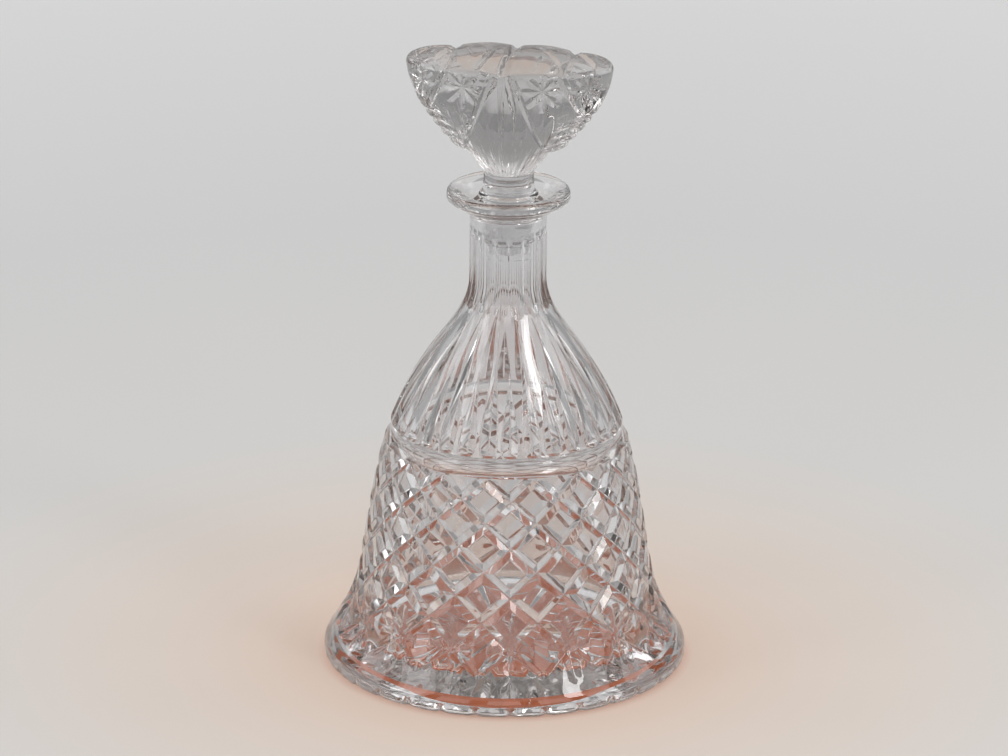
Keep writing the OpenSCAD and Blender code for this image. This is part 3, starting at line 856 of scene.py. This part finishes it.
def disc(name, radius):
    """Round floor: rings at evenly spaced radii, each a circle of points, a hair under the sole."""
    rings = np.linspace(0, radius, FLOOR_RINGS + 1)[1:, None]
    angle = np.radians(np.arange(0, 360, FLOOR_TURN))[None]
    flat = np.full_like(rings * angle, -FLOOR_DROP * MM)
    verts = np.stack([rings * np.cos(angle), rings * np.sin(angle), flat], 2)
    index = np.arange(rings.size * angle.size).reshape(rings.size, angle.size)
    a, d = index[:-1], index[1:]
    cells = np.stack([a, d, np.roll(d, -1, 1), np.roll(a, -1, 1)], 2).reshape(-1, 4)
    mesh = bpy.data.meshes.new(name)
    mesh.from_pydata(verts.reshape(-1, 3).tolist(), [], cells.tolist() + [index[0].tolist()])
    floor = bpy.data.objects.new(name, mesh)
    bpy.context.scene.collection.objects.link(floor)
    return floor


# Matt paper: pale and warm round the foot, and a neutral pale grey further out. Where the foot stands it is a
# dark terracotta, which is painted shade under the bottle over the paper's warm colour
paper_and_shade, tree = new_material("paper_matt_and_painted_shade")
place = add(tree, "ShaderNodeTexCoord").outputs["Object"]
away = add(tree, "ShaderNodeVectorMath", {"operation": "LENGTH"}, i0=place).outputs["Value"]
part = add(tree, "ShaderNodeMath", {"operation": "DIVIDE"}, i0=away, i1=FLOOR_R).outputs[0]
tint = add(tree, "ShaderNodeValToRGB", Fac=part)
stops = tint.color_ramp.elements
while len(stops) < len(FLOOR_TINTS_AND_SHADE):
    stops.new(0.5)
for stop, (radius, colour) in zip(stops, FLOOR_TINTS_AND_SHADE):
    stop.position, stop.color = radius / FLOOR_R, linear(colour)
sheet = add(tree, "ShaderNodeBsdfPrincipled", Base_Color=tint.outputs["Color"], Roughness=0.9)
add(tree, "ShaderNodeOutputMaterial", Surface=sheet.outputs["BSDF"])
floor = disc("floor", FLOOR_R)
floor.data.materials.append(paper_and_shade)

# Light tent: grey low down, a band of bright panels with dark gaps between them above that, which at the back
# is plain and brightens upwards, then a plain bright slope, and a darker top. Heights are sines of the
# elevation.
TENT_PANELS = 11
# Cosines between which a panel turns into a gap, and the light of the two
TENT_GAP = (0.35, 0.5)
PANEL_LIGHT, GAP_LIGHT = 2.1, 0.05
# Shares of the way back over which the plain back comes in, and its light at two heights
TENT_BACK = (0.55, 0.75)
BACK_HEIGHTS = (0.28, 0.45)
BACK_LIGHTS = (0.42, 0.8)
# Heights over which the tent turns from one light to another, a light, and whether that is the one below
TENT_STEPS = ((0.17, 0.25, 0.36, True), (0.5, 0.62, 0.95, False), (0.86, 0.95, 0.25, False))
world = bpy.data.worlds.new("light_tent")
world.use_nodes = True
tree = world.node_tree
tree.nodes.clear()
soft = {"interpolation_type": "SMOOTHSTEP"}
way = add(tree, "ShaderNodeSeparateXYZ", Vector=add(tree, "ShaderNodeTexCoord").outputs["Generated"])
bearing = add(tree, "ShaderNodeMath", {"operation": "ARCTAN2"}, i0=way.outputs["X"], i1=way.outputs["Y"])
turns = add(tree, "ShaderNodeMath", {"operation": "MULTIPLY"}, i0=bearing.outputs[0], i1=float(TENT_PANELS))
wave = add(tree, "ShaderNodeMath", {"operation": "COSINE"}, i0=turns.outputs[0])
panels = add(tree, "ShaderNodeMapRange", soft, Value=wave.outputs[0], i1=TENT_GAP[0], i2=TENT_GAP[1],
             i3=PANEL_LIGHT, i4=GAP_LIGHT)
back = add(tree, "ShaderNodeMapRange", soft, Value=way.outputs["Y"], i1=TENT_BACK[0], i2=TENT_BACK[1])
plain = add(tree, "ShaderNodeMapRange", soft, Value=way.outputs["Z"], i1=BACK_HEIGHTS[0], i2=BACK_HEIGHTS[1],
            i3=BACK_LIGHTS[0], i4=BACK_LIGHTS[1])
light = add(tree, "ShaderNodeMix", i0=back.outputs["Result"], i2=panels.outputs["Result"],
            i3=plain.outputs["Result"]).outputs[0]
for low_end, high_end, step_light, is_below in TENT_STEPS:
    rise = add(tree, "ShaderNodeMapRange", soft, Value=way.outputs["Z"], i1=low_end, i2=high_end)
    below, above_it = (step_light, light) if is_below else (light, step_light)
    light = add(tree, "ShaderNodeMix", i0=rise.outputs["Result"], i2=below, i3=above_it).outputs[0]
sky = add(tree, "ShaderNodeBackground", Color=linear("#FFFFFF"), Strength=light)
add(tree, "ShaderNodeOutputWorld", Surface=sky.outputs["Background"])
bpy.context.scene.world = world


def softbox(name, place, aim, width, height, watts):
    """Area lamp of a size in metres at a place, turned to face a point."""
    lamp = bpy.data.lights.new(name, "AREA")
    lamp.shape = "RECTANGLE"
    lamp.size, lamp.size_y, lamp.energy = width, height, watts
    box = bpy.data.objects.new(name, lamp)
    box.matrix_world = (Matrix.Translation(place)
                        @ (Vector(aim) - Vector(place)).to_track_quat("-Z", "Y").to_matrix().to_4x4())
    bpy.context.scene.collection.objects.link(box)


softbox("key_right", place=(1.0, -0.9, 1.15), aim=(0, 0, 0.1), width=0.3, height=0.8, watts=7)
softbox("fill_left", place=(-1.2, -0.7, 0.8), aim=(0, 0, 0.12), width=0.5, height=1.1, watts=3)

# The photo's view, 20 degrees above the horizon from 3 m with a long lens, with a slight lean of the frame.
# The places are in metres, and the focal length is in pixels of the photo.
IMAGE_W = 1008
FOCAL_PIXELS = 7307.5
LEAN = math.radians(0.5)
EYE = Vector((-0.0012, -2.812, 1.158))
AIM = Vector((-0.0012, 0, 0.1201))
camera = bpy.data.cameras.new("camera")
camera.sensor_width = 36.0
camera.lens = FOCAL_PIXELS * camera.sensor_width / IMAGE_W
view = bpy.data.objects.new("camera", camera)
view.matrix_world = (Matrix.Translation(EYE) @ (AIM - EYE).to_track_quat("-Z", "Y").to_matrix().to_4x4()
                     @ Matrix.Rotation(LEAN, 4, "Z"))
bpy.context.scene.collection.objects.link(view)
bpy.context.scene.camera = view

# Enough bounces for light to cross both walls of the bottle with the stopper and the sleeve between them
scene = bpy.context.scene
scene.view_settings.view_transform = "Standard"
scene.cycles.max_bounces = 32
scene.cycles.transmission_bounces = 32
scene.cycles.glossy_bounces = 16
scene.cycles.transparent_max_bounces = 32
